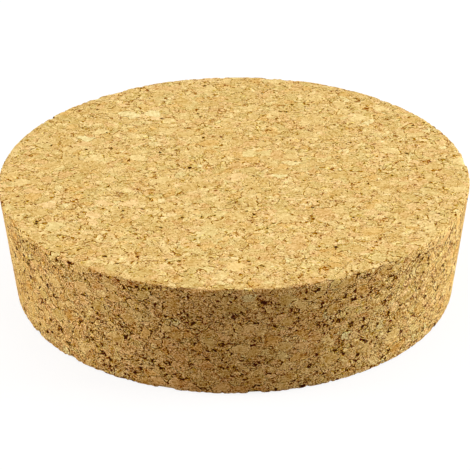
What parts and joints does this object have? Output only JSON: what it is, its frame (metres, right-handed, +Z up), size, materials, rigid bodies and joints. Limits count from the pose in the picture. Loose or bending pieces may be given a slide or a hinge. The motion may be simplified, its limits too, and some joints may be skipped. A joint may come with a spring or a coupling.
{
  "type": "cork stopper",
  "caption": "Wide, low stopper of pressed cork granules, with flat ends and a straight tapered side that wedges into the round mouth of a jar or crock.",
  "frame": {"origin": "centre of the small bottom face, which the stopper stands on", "axes": "+Z up the stopper's axis, from the small face to the wide one; X and Y are free, because the stopper is round"},
  "size_m": [0.1178, 0.1178, 0.03],
  "materials": {
    "cork": "matt sanded cork granules, pale yellow-tan with dark brown flecks and fine pores"
  },
  "bodies": {
    "root": {"stopper": "cork"}
  },
  "joints": []
}
